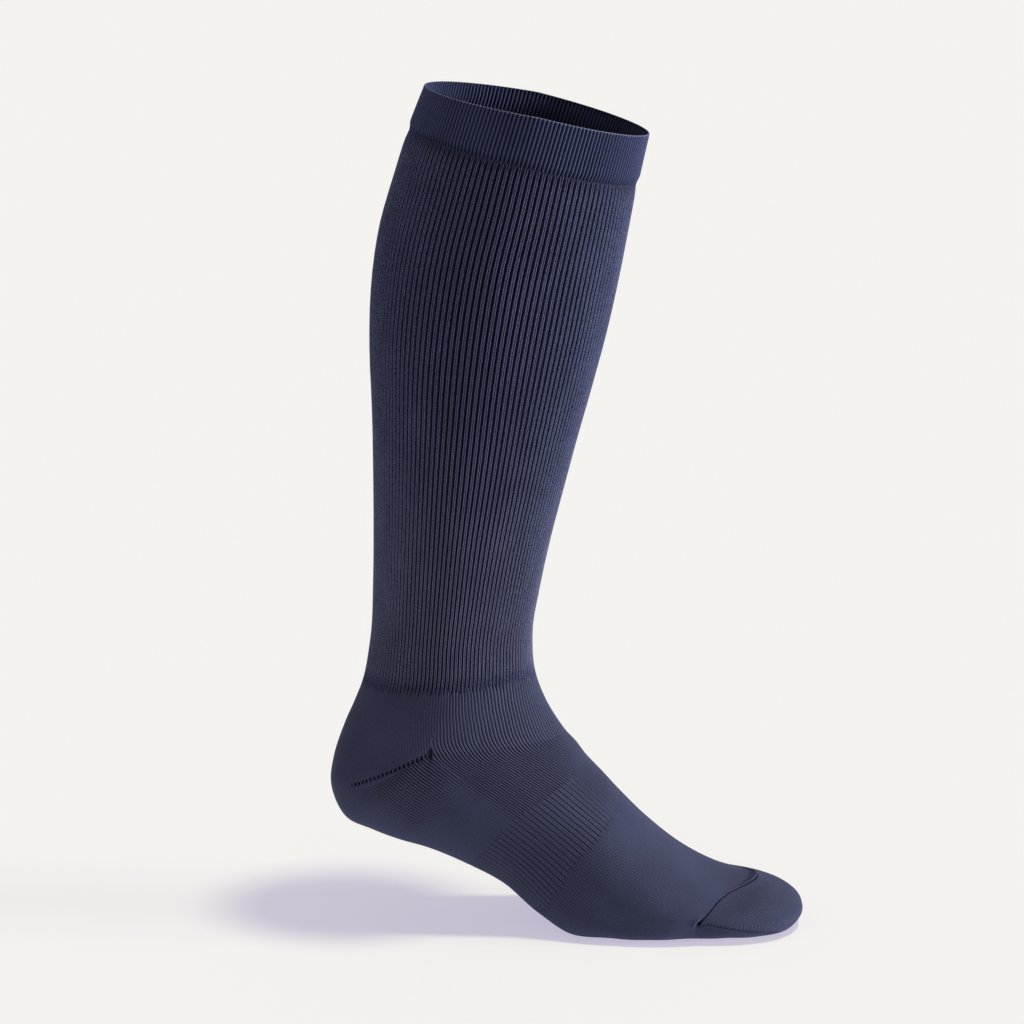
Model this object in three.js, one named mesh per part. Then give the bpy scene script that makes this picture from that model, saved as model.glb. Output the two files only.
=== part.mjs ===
// A knee-high compression stocking in the shape it has when worn, hollow, with its leg opening open.
// Millimetres, +Z up, toe towards +X, mirror image in Y. The tables are measured in the side view,
// forward from the back of the heel and up from the floor under the toes.
// Every knitted zone is a wall: its outer face follows the tables and its inner face is set in.

import * as THREE from 'three';

// Driving dimensions
const SEAM_GAP = 0.3;
const WALL = 1.5;
const WELT_WALL = 2.2;
const WELT_STEP = 0.5;
const LEG_RIBS = 120;
const LEG_RIB_DEPTH = 0.75;
const LEG_WALL = 1.9;
const ARCH_RIBS = 88;
const ARCH_RIB_DEPTH = 0.5;
const PLAIN_INSET = 0.35;

// Mesh fineness
const PLAIN_COLUMNS = 64;
const POCKET_TIP = 0.03;
const STRAIGHT_SHARE = 4 / PLAIN_COLUMNS;
const ARC_SAMPLES = 120;
const STATION_STEP = 0.02;
const SHARE_STEP = 0.01;
const LEAST_STEP = 0.001;
const ELLIPSE = 2;
const LATE_POWER = 8;

// Full rings from the rim to the toe seam. front is the middle of the shin or of the foot's top,
// back is the middle of the calf or of the sole, side is where the two meet at the half width.
// sole says how square the back half is: 2 is an ellipse, more is flatter. late is the share of the
// front half's way forward that comes late, close to its middle.
const RINGS = [
  { name: 'rim', front: [158.4, 402.2], side: [104.0, 416.0], back: [48.9, 425.6], half: 58.2 },
  { name: 'welt end', front: [153.0, 377.6], side: [97.0, 392.0], back: [40.6, 404.6], half: 57.6 },
  { name: 'upper calf', front: [149.0, 356.0], back: [33.9, 384.0], half: 58.6 },
  { name: 'full calf', front: [144.1, 330.0], back: [25.6, 355.0], half: 59.6 },
  { name: 'mid calf', front: [138.4, 304.0], back: [21.5, 325.0], half: 59.2 },
  { name: 'lower calf', front: [131.6, 278.0], back: [20.6, 295.0], half: 57.0 },
  { name: 'calf end', front: [124.1, 251.0], back: [21.6, 265.0], half: 53.2 },
  { name: 'shin', front: [117.3, 225.0], back: [22.0, 235.0], half: 48.6 },
  { name: 'lower shin', front: [110.7, 199.0], back: [22.0, 205.0], half: 43.8 },
  { name: 'tendon', front: [105.2, 173.0], back: [21.5, 175.0], half: 39.8 },
  { name: 'narrowest', front: [101.8, 152.0], back: [20.3, 150.0], half: 36.8 },
  { name: 'rib end', front: [103.1, 131.2], back: [16.1, 127.0], half: 35.4 },
  { name: 'ankle', front: [108.8, 115.0], side: [54.0, 111.5], back: [11.4, 114.5], half: 35.0 },
  { name: 'heel corner', front: [118.4, 99.5], side: [50.5, 96.0], back: [6.4, 103.0], half: 34.6 },
  { name: 'instep', front: [124.2, 93.0], side: [72.0, 79.0], back: [50.0, 38.5], half: 34.4, sole: 2.3 },
  { name: 'arch start', front: [129.3, 86.0], side: [94.0, 63.5], back: [68.0, 31.0], half: 34.6, sole: 2.4 },
  { name: 'arch', front: [137.9, 76.7], side: [108.0, 52.5], back: [86.0, 21.5], half: 35.6, sole: 2.5 },
  { name: 'arch end', front: [146.6, 66.8], side: [122.0, 41.5], back: [103.4, 7.6], half: 39.0, sole: 3.1 },
  { name: 'ball start', front: [161.4, 51.6], side: [141.0, 25.0], back: [119.0, 0.0], half: 44.4, sole: 4.2 },
  { name: 'ball', front: [180.8, 36.0], side: [161.0, 15.0], back: [142.0, 0.0], half: 48.2, sole: 4.8, late: 0.05 },
  { name: 'toe roots', front: [200.0, 26.8], side: [174.0, 12.6], back: [162.0, 0.0], half: 48.6, sole: 5.0, late: 0.28 },
  { name: 'toe corner', front: [216.4, 23.2], side: [184.0, 12.0], back: [179.0, 0.0], half: 46.6, sole: 4.6, late: 0.55 },
];

// Rows of the heel pocket, all through the heel corners, from the calf side round to the sole.
const HEEL_ROWS = [
  { name: 'heel upper', middle: [0.8, 86.0], round: 2.0 },
  { name: 'heel gore', middle: [-0.6, 71.0], round: 2.1 },
  { name: 'heel lower', middle: [6.6, 55.0], round: 2.2 },
  { name: 'heel sole', middle: [19.8, 48.4], round: 2.2 },
];
const HEEL_RETURN = { name: 'heel return', middle: [33.0, 43.2], round: 2.2 };

// Rows of the toe pocket, all through the toe corners, from the sole round the tip to the seam.
const TOE_ROWS = [
  { name: 'toe sole', middle: [198.0, 0.0], round: 4.4 },
  { name: 'toe pad', middle: [217.6, 0.0], round: 3.8 },
  { name: 'toe gore', middle: [234.0, 1.8], round: 3.0 },
  { name: 'toe tip', middle: [239.6, 8.0], round: 2.6 },
  { name: 'toe nail', middle: [235.6, 13.6], round: 2.3 },
  { name: 'toe top', middle: [227.0, 18.4], round: 2.05 },
];

const NAVY = 0x32344b;
const NAVY_WELT = 0x34364f;
const NAVY_FOOT = 0x3c3e56;

function midpoint(a, b) {
  return [(a[0] + b[0]) / 2, (a[1] + b[1]) / 2];
}

// A half ring runs from its side point to its middle, and is the same on both sides.
function halfRing(name, side, middle, half, round, late = 0) {
  const points = [];
  const lengths = [0];
  for (let i = 0; i <= ARC_SAMPLES; i += 1) {
    const angle = (Math.PI / 2) * (i / ARC_SAMPLES);
    const inward = Math.sin(angle) ** (2 / round);
    const forward = (1 - late) * inward + late * inward ** LATE_POWER;
    const x = side[0] + (middle[0] - side[0]) * forward;
    const y = half * Math.cos(angle) ** (2 / round);
    const z = side[1] + (middle[1] - side[1]) * inward;
    points.push(new THREE.Vector3(x, i === ARC_SAMPLES ? 0 : y, z));
    if (i > 0) {
      lengths.push(lengths[i - 1] + points[i].distanceTo(points[i - 1]));
    }
  }
  return { name, points, lengths };
}

// The point at a share of a half ring's length, from 0 at its side to 1 at its middle.
// The first column's width is straight, so that a pocket fits its neighbours close to its corner.
function pointOnHalfRing(ring, share) {
  if (share < STRAIGHT_SHARE) {
    const firstColumn = pointOnHalfRing(ring, STRAIGHT_SHARE);
    return ring.points[0].clone().lerp(firstColumn, share / STRAIGHT_SHARE);
  }
  const target = share * ring.lengths[ARC_SAMPLES];
  let i = 1;
  while (i < ARC_SAMPLES && ring.lengths[i] < target) {
    i += 1;
  }
  const step = ring.lengths[i] - ring.lengths[i - 1];
  const part = (target - ring.lengths[i - 1]) / step;
  return ring.points[i - 1].clone().lerp(ring.points[i], part);
}

function sideOf(ring) {
  return ring.side ?? midpoint(ring.front, ring.back);
}

const byName = Object.fromEntries(RINGS.map((ring) => [ring.name, ring]));
const heelCorner = byName['heel corner'];
const toeCorner = byName['toe corner'];

function frontHalf(ring) {
  return halfRing(ring.name, sideOf(ring), ring.front, ring.half, ELLIPSE, ring.late);
}

function backHalf(ring) {
  return halfRing(ring.name, sideOf(ring), ring.back, ring.half, ring.sole ?? ELLIPSE);
}

function pocketRow(row, corner) {
  return halfRing(row.name, corner.side, row.middle, corner.half, row.round);
}

// The front wales run straight from the rim to the toe seam. The back wales go round both pockets.
// Each list ends with one row past its last, which only gives its last stretch a direction.
const heelIndex = RINGS.indexOf(heelCorner);
const FRONT = [
  ...RINGS.map(frontHalf),
  pocketRow(TOE_ROWS[TOE_ROWS.length - 1], toeCorner),
];
const BACK = [
  ...RINGS.slice(0, heelIndex + 1).map(backHalf),
  ...HEEL_ROWS.map((row) => pocketRow(row, heelCorner)),
  pocketRow(HEEL_RETURN, heelCorner),
  ...RINGS.slice(heelIndex + 1).map(backHalf),
  ...TOE_ROWS.map((row) => pocketRow(row, toeCorner)),
  { ...frontHalf(toeCorner), name: 'toe seam' },
  frontHalf(byName['toe roots']),
];

function frontStation(name) {
  return FRONT.findIndex((ring) => ring.name === name);
}

function backStation(name) {
  return BACK.findIndex((ring) => ring.name === name);
}

// The square root of a distance spaces a smooth curve so that it never loops back.
function stride(a, b) {
  return Math.sqrt(Math.max(a.distanceTo(b), LEAST_STEP));
}

// A smooth curve through four points in a row, between the middle two.
function smooth(p0, p1, p2, p3, t) {
  const d1 = stride(p0, p1);
  const d2 = stride(p1, p2);
  const d3 = stride(p2, p3);
  const value = (axis) => {
    const a = p0[axis];
    const b = p1[axis];
    const c = p2[axis];
    const d = p3[axis];
    const start = ((b - a) / d1 - (c - a) / (d1 + d2) + (c - b) / d2) * d2;
    const end = ((c - b) / d2 - (d - b) / (d2 + d3) + (d - c) / d3) * d2;
    const cubic = 2 * b - 2 * c + start + end;
    const square = -3 * b + 3 * c - 2 * start - end;
    return ((cubic * t + square) * t + start) * t + b;
  };
  return new THREE.Vector3(value('x'), value('y'), value('z'));
}

// A wale is a column of the knit: which half it is in, how far round from the side, and which side.
function pointOnWale(wale, station) {
  const rows = wale.back ? BACK : FRONT;
  const first = Math.min(Math.max(Math.floor(station), 0), rows.length - 2);
  const at = (i) => pointOnHalfRing(rows[i], wale.share);
  const p1 = at(first);
  const p2 = at(first + 1);
  const p0 = first > 0 ? at(first - 1) : p1.clone().multiplyScalar(2).sub(p2);
  const p3 = first + 2 < rows.length ? at(first + 2) : p2.clone().multiplyScalar(2).sub(p1);
  const point = smooth(p0, p1, p2, p3, station - first);
  point.y *= wale.hand;
  return point;
}

// Wales all the way round, from the front over the far side to the back and home again.
function ringWales(count) {
  const wales = [];
  for (let i = 0; i < count; i += 1) {
    const turn = (4 * i) / count;
    const hand = turn <= 2 ? 1 : -1;
    const fold = turn <= 2 ? turn : 4 - turn;
    const back = fold > 1;
    wales.push({ back, share: Math.abs(fold - 1), hand });
  }
  return wales;
}

// Wales of a pocket, from close to the far corner round the middle to close to the near corner.
function pocketWales(count) {
  const wales = [];
  for (let i = 0; i <= count; i += 1) {
    const across = (2 * i) / count - 1;
    const share = Math.max(1 - Math.abs(across), POCKET_TIP);
    wales.push({ back: true, share, hand: across <= 0 ? 1 : -1 });
  }
  return wales;
}

// Directions at a point of a wale: out of the surface, and onward in it at right angles to the course.
function directions(wale, station) {
  const point = (share, shift) => {
    const mirrored = share > 1;
    const nearby = { ...wale, share: mirrored ? 2 - share : Math.max(share, 0) };
    const found = pointOnWale(nearby, station + shift);
    return mirrored ? found.setY(-found.y) : found;
  };
  const along = point(wale.share, STATION_STEP).sub(point(wale.share, -STATION_STEP));
  const across = point(wale.share + SHARE_STEP, 0).sub(point(wale.share - SHARE_STEP, 0));
  const turned = wale.back ? along.clone().cross(across) : across.clone().cross(along);
  const out = turned.multiplyScalar(wale.hand).normalize();
  const onward = across.cross(out).normalize();
  return { out, onward: onward.multiplyScalar(Math.sign(onward.dot(along))) };
}

// One course of points, each moved out from the measured face by its own relief.
// pull moves the whole course onward in the surface, to leave half a seam gap at the end of a zone.
function course(wales, stations, relief, pull) {
  return wales.map((wale, i) => {
    const station = wale.back ? stations.back : stations.front;
    const { out, onward } = directions(wale, station);
    const point = pointOnWale(wale, station);
    return point.addScaledVector(out, relief(i)).addScaledVector(onward, pull);
  });
}

// Triangles between two courses, which may have different numbers of points.
function stitch(a, b, closed, triangles) {
  const stepsA = closed ? a.length : a.length - 1;
  const stepsB = closed ? b.length : b.length - 1;
  let i = 0;
  let j = 0;
  while (i < stepsA || j < stepsB) {
    const nextA = a[(i + 1) % a.length];
    const nextB = b[(j + 1) % b.length];
    const hereA = a[i % a.length];
    const hereB = b[j % b.length];
    if (j >= stepsB || (i < stepsA && (i + 1) * stepsB <= (j + 1) * stepsA)) {
      triangles.push(hereA, nextA, hereB);
      i += 1;
    } else {
      triangles.push(hereA, nextB, hereB);
      j += 1;
    }
  }
}

// A closed body from courses that go down the outside and back up the inside.
function body(name, courses, closed, colour) {
  const positions = [];
  const indexed = courses.map((points) => points.map((point) => {
    positions.push(point.x, point.y, point.z);
    return positions.length / 3 - 1;
  }));
  const triangles = [];
  for (let i = 0; i < indexed.length; i += 1) {
    stitch(indexed[i], indexed[(i + 1) % indexed.length], closed, triangles);
  }
  if (!closed) {
    const pairs = indexed.length / 2;
    for (let i = 0; i < pairs - 1; i += 1) {
      const outer = [indexed[i], indexed[i + 1]];
      const inner = [indexed[indexed.length - 1 - i], indexed[indexed.length - 2 - i]];
      const start = [...outer, ...inner].map((row) => row[0]);
      const end = [...outer, ...inner].map((row) => row[row.length - 1]);
      triangles.push(start[0], start[1], start[2], start[1], start[3], start[2]);
      triangles.push(end[0], end[2], end[1], end[1], end[2], end[3]);
    }
  }
  let volume = 0;
  for (let i = 0; i < triangles.length; i += 3) {
    const [a, b, c] = [0, 1, 2].map((k) => new THREE.Vector3().fromArray(positions, 3 * triangles[i + k]));
    volume += a.dot(b.cross(c));
  }
  if (volume < 0) {
    triangles.reverse();
  }
  const geometry = new THREE.BufferGeometry();
  geometry.setAttribute('position', new THREE.Float32BufferAttribute(positions, 3));
  geometry.setIndex(triangles);
  geometry.computeVertexNormals();
  const material = new THREE.MeshStandardMaterial({ color: colour, roughness: 0.9, metalness: 0 });
  const mesh = new THREE.Mesh(geometry, material);
  mesh.name = name;
  return mesh;
}

// A knitted zone between two stations of the front wales and two of the back wales.
function zone({ name, front, back, rows, wales, closed = true, inside = 1, wall = WALL, relief, colour }) {
  const outer = [];
  const inner = [];
  const innerWales = wales.filter((wale, i) => i % inside === 0);
  for (let i = 0; i <= rows; i += 1) {
    const share = i / rows;
    const stations = {
      front: front ? front[0] + (front[1] - front[0]) * share : 0,
      back: back[0] + (back[1] - back[0]) * share,
    };
    const end = i === 0 ? 1 : i === rows ? -1 : 0;
    const pull = (end * SEAM_GAP) / 2;
    outer.push(course(wales, stations, relief, pull));
    inner.push(course(innerWales, stations, () => -wall, pull));
  }
  return body(name, [...outer, ...inner.reverse()], closed, colour);
}

function plain() {
  return -PLAIN_INSET;
}

// Ribs: crests on the measured face and grooves below it, one crest and one groove a rib.
function ribs(depth) {
  return (i) => (i % 2 === 0 ? 0 : -depth);
}

function between(from, to) {
  return {
    front: [frontStation(from), frontStation(to)],
    back: [backStation(from), backStation(to)],
  };
}

// The welt is a doubled band with a rounded rim, a little proud of the leg below it.
function makeWelt() {
  const wales = ringWales(PLAIN_COLUMNS);
  const radius = WELT_WALL / 2;
  const middle = WELT_STEP - radius;
  const depth = 24;
  const edge = 1 - SEAM_GAP / 2 / depth;
  const profile = [
    { station: edge, offset: WELT_STEP },
    { station: 0.5, offset: WELT_STEP },
  ];
  const turns = 4;
  for (let i = 0; i <= turns; i += 1) {
    const angle = (Math.PI * i) / turns;
    const station = (radius * (1 - Math.sin(angle))) / depth;
    profile.push({ station, offset: middle + radius * Math.cos(angle) });
  }
  profile.push({ station: 0.5, offset: WELT_STEP - WELT_WALL });
  profile.push({ station: edge, offset: WELT_STEP - WELT_WALL });
  const courses = profile.map(({ station, offset }) => {
    const stations = { front: station, back: station };
    return course(wales, stations, () => offset, 0);
  });
  return body('welt', courses, true, NAVY_WELT);
}

function makeLeg() {
  return zone({
    name: 'leg',
    ...between('welt end', 'rib end'),
    rows: 10,
    wales: ringWales(2 * LEG_RIBS),
    inside: 5,
    wall: LEG_WALL,
    relief: ribs(LEG_RIB_DEPTH),
    colour: NAVY,
  });
}

function makeAnkle() {
  return zone({
    name: 'ankle',
    ...between('rib end', 'heel corner'),
    rows: 3,
    wales: ringWales(PLAIN_COLUMNS),
    inside: 2,
    relief: plain,
    colour: NAVY,
  });
}

function makeHeel() {
  return zone({
    name: 'heel',
    back: [backStation('heel corner'), backStation('heel return')],
    rows: 9,
    wales: pocketWales(PLAIN_COLUMNS / 2),
    closed: false,
    inside: 2,
    relief: plain,
    colour: NAVY_FOOT,
  });
}

function makeInstep() {
  return zone({
    name: 'instep',
    front: [frontStation('heel corner'), frontStation('arch start')],
    back: [backStation('heel return'), backStation('arch start')],
    rows: 4,
    wales: ringWales(PLAIN_COLUMNS),
    inside: 2,
    relief: plain,
    colour: NAVY_FOOT,
  });
}

function makeArchBand() {
  return zone({
    name: 'arch_band',
    ...between('arch start', 'arch end'),
    rows: 3,
    wales: ringWales(2 * ARCH_RIBS),
    inside: 4,
    relief: ribs(ARCH_RIB_DEPTH),
    colour: NAVY_FOOT,
  });
}

function makeForefoot() {
  return zone({
    name: 'forefoot',
    ...between('arch end', 'toe corner'),
    rows: 7,
    wales: ringWales(PLAIN_COLUMNS),
    relief: plain,
    colour: NAVY_FOOT,
  });
}

function makeToe() {
  return zone({
    name: 'toe',
    back: [backStation('toe corner'), backStation('toe seam')],
    rows: 11,
    wales: pocketWales(PLAIN_COLUMNS / 2),
    closed: false,
    relief: plain,
    colour: NAVY_FOOT,
  });
}

// The group's origin is the middle of the leg opening, where the stocking is held up.
const rim = byName.rim;
const [rimX, rimZ] = midpoint(rim.front, rim.back);
const stocking = new THREE.Group();
stocking.add(makeWelt(), makeLeg(), makeAnkle(), makeHeel());
stocking.add(makeInstep(), makeArchBand(), makeForefoot(), makeToe());
stocking.position.set(-rimX, 0, -rimZ);

export default stocking;
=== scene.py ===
"""A knee-high compression stocking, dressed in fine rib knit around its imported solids."""

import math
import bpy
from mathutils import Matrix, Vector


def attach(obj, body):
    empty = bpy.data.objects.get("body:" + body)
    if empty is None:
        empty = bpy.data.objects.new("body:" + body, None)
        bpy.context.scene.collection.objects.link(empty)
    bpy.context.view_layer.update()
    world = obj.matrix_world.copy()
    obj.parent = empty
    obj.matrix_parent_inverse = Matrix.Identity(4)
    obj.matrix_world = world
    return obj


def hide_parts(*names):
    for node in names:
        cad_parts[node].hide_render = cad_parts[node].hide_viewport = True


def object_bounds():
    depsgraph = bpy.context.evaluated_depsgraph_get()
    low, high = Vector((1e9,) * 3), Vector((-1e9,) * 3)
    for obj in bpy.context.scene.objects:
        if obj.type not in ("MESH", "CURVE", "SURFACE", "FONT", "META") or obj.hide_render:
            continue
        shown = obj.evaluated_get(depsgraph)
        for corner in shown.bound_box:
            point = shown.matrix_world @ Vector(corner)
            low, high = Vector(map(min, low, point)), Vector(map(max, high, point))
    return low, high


bl_info = {
    "name": "Compression stocking",
    "version": (1, 0, 0),
    "blender": (4, 5, 0),
    "location": "3D View > Sidebar > Stocking",
    "description": "Knits the zones of a knee-high compression stocking and sets its stage",
    "category": "Object",
}

from collections import namedtuple

import bpy
import numpy as np
from mathutils import Vector

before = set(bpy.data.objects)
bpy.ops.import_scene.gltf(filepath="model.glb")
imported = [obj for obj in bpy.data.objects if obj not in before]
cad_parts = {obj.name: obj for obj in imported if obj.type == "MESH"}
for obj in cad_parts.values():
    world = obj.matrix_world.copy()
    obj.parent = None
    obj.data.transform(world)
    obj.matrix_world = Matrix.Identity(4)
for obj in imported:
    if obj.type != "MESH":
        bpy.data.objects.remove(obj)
CAD_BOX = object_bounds()

MM = 0.001

# Thickness of each wall in millimetres. The welt's is where it is doubled, and the rim's is its fold.
WALL = 1.2
RIB_WALL = 1.9
WELT_WALL = 2.2
RIM_WALL = 1.2
# How far the welt stands out, how long it is and how far its lower edge draws in
WELT_STEP = 0.5
WELT_LENGTH = 24.0
WELT_DRAW = 0.9
# Where plain knit lies, from the measured form
BASE = -0.25

# Ribs all round, the pockets' turning holes in a quarter round, and wales all round in the knit map
LEG_RIBS = 120
FINE_RIBS = 176
ARCH_RIBS = 88
HEEL_HOLES = 30
TOE_HOLES = 50
WALES = 360

# Widths of gaps and splits, as shares of their rib. The leg's gaps are narrower at the ankle.
LEG_GAP = 0.28
ANKLE_GAP = 0.26
GAP_EDGE = 0.14
LEG_SPLIT = 0.11
WELT_GAP = 0.26
FINE_GAP = 0.2
ARCH_GAP = 0.15
ARCH_SPLIT = 0.1
# The crowns of the two wales of a leg rib, one on each side, where the painted highlight lies, and how wide
# it is
HIGHLIGHT_PLACE = 0.34
HIGHLIGHT_WIDTH = 0.07

# How far the gaps of a zone run on into the one beside it, in millimetres
LEG_TAIL = 4.2
ARCH_TAIL_BACK = 3.2
ARCH_TAIL_FRONT = 4.0
# How deep the notches, turning holes and the toe seam are, and how high its ridge and bumps, in millimetres
HEEL_NOTCH = 1.3
TOE_NOTCH = 0.8
HEEL_HOLE = 1.0
TOE_HOLE = 0.7
SEAM = 0.5
SEAM_RIDGE = 1.2
SEAM_BUMP = 1.0
# What is left of the fine ribs in plain knit
PLAIN = 0.06

# What the inside of the cloth has for each fact. The inside is painted darker, as shade inside the tube.
INSIDE = {"groove": 0.6, "pale": 0.0, "hole": 0.0}

# Columns of the mesh for each rib
LEG_COLUMNS = 12
FINE_COLUMNS = 6
ARCH_COLUMNS = 12
# Samples of half a ring, and how far apart the points are that give a direction
ARC_SAMPLES = 240
STATION_STEP = 0.02
SHARE_STEP = 0.004
LEAST_STEP = 0.001
# Where a pocket's first wale is between its corner and its second, and the share of a zone's length
# that its first and last courses take
CORNER_TIP = 0.3
EDGE = 0.0006
# Rows of the welt from its lower edge up to the fold, as shares of its length, and round the fold
WELT_ROWS = (1.0, 0.98, 0.95, 0.92, 0.89, 0.85, 0.8, 0.7, 0.55, 0.4, 0.25, 0.12, 0.05)
FOLD_ROWS = 7
KNIT_MAP = "knit"
# A second map under this name, for baking colours, which here is the wall laid out flat.
BAKE_MAP = "OFBake"

# A stitch's height in millimetres, the specks of yarn for each stitch, and the size of patches of uneven dye
STITCH = 0.9
SPECKS = 1.3
PATCH = 25

# Distances of the stage in metres, its angles in degrees, and the photograph's pixels
CAMERA_DISTANCE = 2.0
CAMERA_ELEVATION = 12
FOCAL_PIXELS = 4000.0
IMAGE_PIXELS = 1024.0
SENSOR_MM = 36.0
FLOOR_SIZE = 30.0
SUN_DISTANCE = 3
ROOM_LIGHT = 0.2
# Where the camera looks, in the millimetres of the side view below
CAMERA_AIM = (91.3, 0.0, 212.0)

# An ellipse's roundness, and how late the late share of a half ring comes
ELLIPSE = 2.0
LATE_POWER = 8
Ring = namedtuple("Ring", "name front side back half sole late", defaults=(ELLIPSE, 0.0))
Row = namedtuple("Row", "name middle round")
# A zone as its relief sees it. turn and side place each wale, run and left are the millimetres from
# the zone's first course and to its last, and stations says where each course is on the back wales.
Zone = namedtuple("Zone", "turn side points run left stations")
# azimuth turns from the camera towards the toe, and spread is how wide the lamp looks
Sun = namedtuple("Sun", "name azimuth elevation strength spread colour")

SUNS = [
    Sun("key", 75, 76, 1.45, 7, "#fffaec"),
    Sun("right strip", 84, 0, 7.2, 20, "#f8f8ff"),
    Sun("left strip", -110, 0, 0.3, 20, "#f4f4ff"),
]

# Full rings from the rim to the toe seam, in the side view: (forward from the heel, up from the floor).
# front is the middle of the shin or foot top, back the middle of the calf or sole, and side is where
# they meet at the half width. sole says how square the back half is, and late is the share of the
# front half's way forward that comes late, close to its middle.
RINGS = [
    Ring("rim", (158.4, 402.2), (104.0, 416.0), (48.9, 425.6), 58.2),
    Ring("welt end", (153.0, 377.6), (97.0, 392.0), (40.6, 404.6), 57.6),
    Ring("upper calf", (149.0, 356.0), None, (33.9, 384.0), 58.6),
    Ring("full calf", (144.1, 330.0), None, (25.6, 355.0), 59.6),
    Ring("mid calf", (138.4, 304.0), None, (21.5, 325.0), 59.2),
    Ring("lower calf", (131.6, 278.0), None, (20.6, 295.0), 57.0),
    Ring("calf end", (124.1, 251.0), None, (21.6, 265.0), 53.2),
    Ring("shin", (117.3, 225.0), None, (22.0, 235.0), 48.6),
    Ring("lower shin", (110.7, 199.0), None, (22.0, 205.0), 43.8),
    Ring("tendon", (105.2, 173.0), None, (21.5, 175.0), 39.8),
    Ring("narrowest", (101.8, 152.0), None, (20.3, 150.0), 36.8),
    Ring("rib end", (103.1, 131.2), None, (16.1, 127.0), 35.4),
    Ring("ankle", (108.8, 115.0), (54.0, 111.5), (11.4, 114.5), 35.0),
    Ring("heel corner", (118.4, 99.5), (50.5, 96.0), (6.4, 103.0), 34.6),
    Ring("instep", (124.2, 93.0), (72.0, 79.0), (50.0, 38.5), 34.4, 2.3),
    Ring("arch start", (129.3, 86.0), (94.0, 63.5), (68.0, 31.0), 34.6, 2.4),
    Ring("arch", (137.9, 76.7), (108.0, 52.5), (86.0, 21.5), 35.6, 2.5),
    Ring("arch end", (146.6, 66.8), (122.0, 41.5), (103.4, 7.6), 39.0, 3.1),
    Ring("ball start", (161.4, 51.6), (141.0, 25.0), (119.0, 0.0), 44.4, 4.2),
    Ring("ball", (180.8, 36.0), (161.0, 15.0), (142.0, 0.0), 48.2, 4.8, 0.05),
    Ring("toe roots", (200.0, 26.8), (174.0, 12.6), (162.0, 0.0), 48.6, 5.0, 0.28),
    Ring("toe corner", (216.4, 23.2), (184.0, 12.0), (179.0, 0.0), 46.6, 4.6, 0.55),
]

# Rows of the heel pocket, through the heel corners, from the calf side round to the sole
HEEL_ROWS = [
    Row("heel upper", (0.8, 86.0), 2.0),
    Row("heel gore", (-0.6, 71.0), 2.1),
    Row("heel lower", (6.6, 55.0), 2.2),
    Row("heel sole", (19.8, 48.4), 2.2),
    Row("heel return", (33.0, 43.2), 2.2),
]

# Rows of the toe pocket, through the toe corners, from the sole round the tip to the seam
TOE_ROWS = [
    Row("toe sole", (198.0, 0.0), 4.4),
    Row("toe pad", (217.6, 0.0), 3.8),
    Row("toe gore", (234.0, 1.8), 3.0),
    Row("toe tip", (239.6, 8.0), 2.6),
    Row("toe nail", (235.6, 13.6), 2.3),
    Row("toe top", (227.0, 18.4), 2.05),
]


def linear(hex_colour):
    """An sRGB hex colour as linear RGBA."""
    parts = [int(hex_colour[i : i + 2], 16) / 255 for i in (1, 3, 5)]
    low = [c / 12.92 for c in parts]
    high = [((c + 0.055) / 1.055) ** 2.4 for c in parts]
    return (*[a if c <= 0.04045 else b for c, a, b in zip(parts, low, high)], 1.0)


class KnitSizes(bpy.types.PropertyGroup):
    """Depths of the knit's relief, in metres."""

    leg_groove: bpy.props.FloatProperty(
        name="Leg groove", description="Depth between two leg ribs", default=1.1 * MM, subtype="DISTANCE"
    )
    leg_split: bpy.props.FloatProperty(
        name="Leg split",
        description="Depth between the two wales of a rib",
        default=0.35 * MM,
        subtype="DISTANCE",
    )
    welt_groove: bpy.props.FloatProperty(
        name="Welt groove", description="Depth between two welt ribs", default=0.9 * MM, subtype="DISTANCE"
    )
    fine_groove: bpy.props.FloatProperty(
        name="Fine groove",
        description="Depth between two fine ribs of the foot",
        default=0.5 * MM,
        subtype="DISTANCE",
    )
    arch_groove: bpy.props.FloatProperty(
        name="Arch groove",
        description="Depth between two ribs of the arch band",
        default=0.5 * MM,
        subtype="DISTANCE",
    )


class KnitColours(bpy.types.PropertyGroup):
    """Colours of the yarn, of the painted shade in its grooves and openings, and of the floor."""

    welt: bpy.props.FloatVectorProperty(
        name="Welt", description="Yarn of the welt", size=4, default=linear("#424868"), subtype="COLOR"
    )
    leg: bpy.props.FloatVectorProperty(
        name="Leg", description="Yarn of the leg", size=4, default=linear("#3b4060"), subtype="COLOR"
    )
    foot: bpy.props.FloatVectorProperty(
        name="Foot", description="Yarn of the foot", size=4, default=linear("#3b3f58"), subtype="COLOR"
    )
    # Painted shade: the colour the yarn darkens towards in grooves, gaps, holes, notches, seams and on the
    # inside
    groove: bpy.props.FloatVectorProperty(
        name="Groove",
        description="Yarn down in the grooves",
        size=4,
        default=linear("#000218"),
        subtype="COLOR",
    )
    floor: bpy.props.FloatVectorProperty(
        name="Floor",
        description="Face of the light table",
        size=4,
        default=linear("#c7d0b0"),
        subtype="COLOR",
    )
    glow: bpy.props.FloatVectorProperty(
        name="Glow",
        description="Light from inside the table",
        size=4,
        default=linear("#bab3c8"),
        subtype="COLOR",
    )


# The measured form


def half_ring(name, side, middle, half, roundness, late=0.0):
    """A half ring from its side point to its middle, with the length run at each sample."""
    angle = np.linspace(0, math.pi / 2, ARC_SAMPLES + 1)
    inward = np.sin(angle) ** (2 / roundness)
    forward = (1 - late) * inward + late * inward**LATE_POWER
    x = side[0] + (middle[0] - side[0]) * forward
    y = half * np.clip(np.cos(angle), 0, 1) ** (2 / roundness)
    z = side[1] + (middle[1] - side[1]) * inward
    y[-1] = 0
    points = np.stack([x, y, z], 1)
    steps = np.linalg.norm(np.diff(points, axis=0), axis=1)
    return {"name": name, "points": points, "lengths": np.concatenate([[0], np.cumsum(steps)])}


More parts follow.
